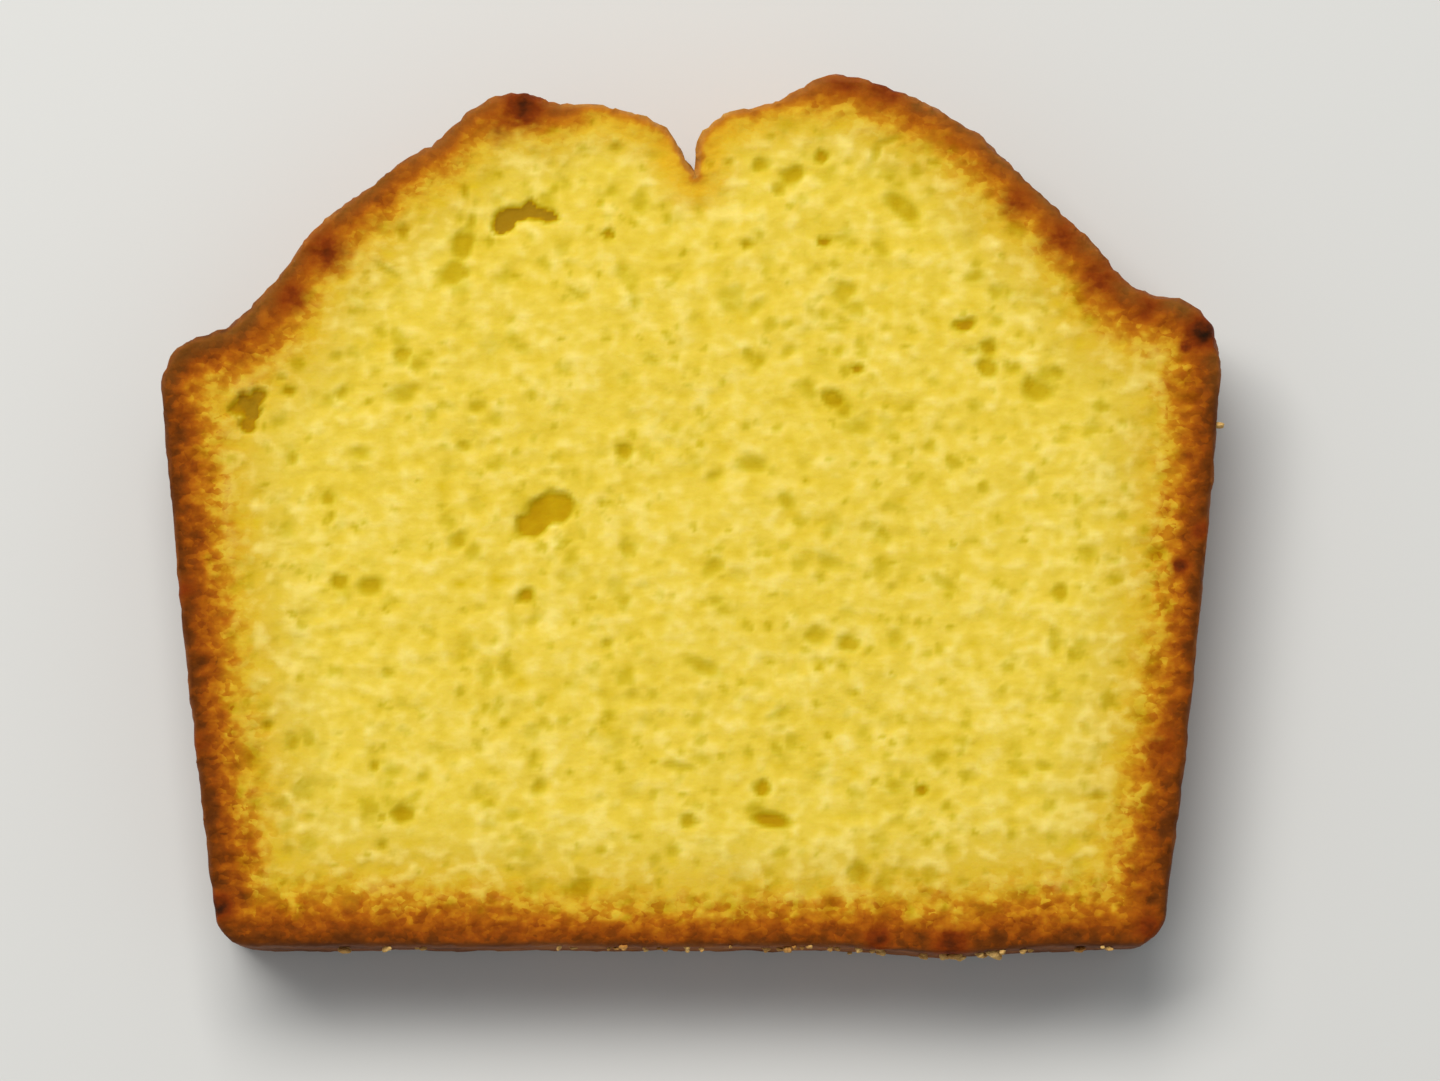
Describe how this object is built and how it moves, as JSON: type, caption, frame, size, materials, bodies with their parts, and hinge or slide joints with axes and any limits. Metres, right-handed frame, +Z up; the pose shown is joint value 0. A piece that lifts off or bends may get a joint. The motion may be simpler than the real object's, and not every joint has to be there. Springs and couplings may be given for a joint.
{
  "type": "pound cake slice",
  "caption": "Slice of pound cake lying on a cut face, with straight sides from its loaf tin, a split domed top, a browned crust and air pockets in its crumb.",
  "frame": {"origin": "middle of the slice's bounding box on the surface it lies on, which is its hidden cut face", "axes": "+Z up through the slice to the cut face that shows, +X across the loaf to the right, +Y from the loaf's base to its split dome"},
  "size_m": [0.11, 0.0914, 0.018],
  "materials": {
    "cake": "soft yellow crumb inside a golden to dark brown baked crust"
  },
  "bodies": {
    "root": {"cake_slice": "cake"}
  },
  "joints": []
}
